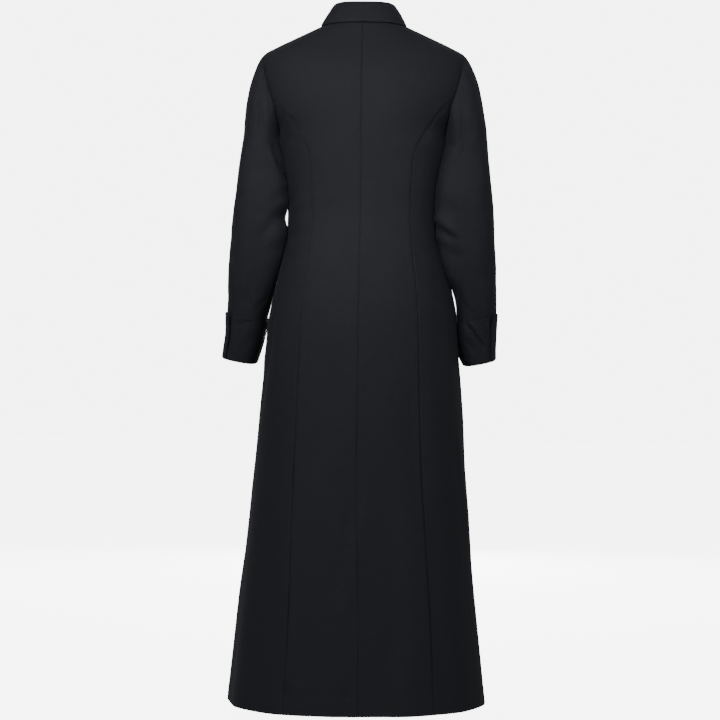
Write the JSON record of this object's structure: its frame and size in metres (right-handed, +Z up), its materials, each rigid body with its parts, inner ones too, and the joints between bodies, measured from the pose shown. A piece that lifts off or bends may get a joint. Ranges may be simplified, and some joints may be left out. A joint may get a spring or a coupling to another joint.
{
  "type": "clergy robe",
  "caption": "Floor-length black clergy robe with princess seams, turned-back cuffs and a shirt collar, worn form with no wearer.",
  "frame": {"origin": "midway between the shoulders, level with the points where they meet the neck, where the wearer holds the robe up", "axes": "+Z up, +Y to the robe's back, +X to the wearer's left"},
  "size_m": [0.564, 0.4161, 1.4167],
  "materials": {
    "cloth": "smooth fine twill, soft matt sheen",
    "buttons": "satin"
  },
  "bodies": {
    "root": {"back_left": "cloth", "back_right": "cloth", "side_back_left": "cloth", "side_back_right": "cloth", "side_front_left": "cloth", "side_front_right": "cloth", "front_left": "cloth", "front_right": "cloth", "sleeve_left": "cloth", "sleeve_right": "cloth", "cuff_left": "cloth", "cuff_right": "cloth", "collar_stand": "cloth", "collar_fall": "cloth", "button_1": "buttons", "button_2": "buttons", "button_3": "buttons", "button_4": "buttons", "button_5": "buttons", "button_6": "buttons", "button_7": "buttons", "button_8": "buttons", "button_9": "buttons"}
  },
  "joints": []
}
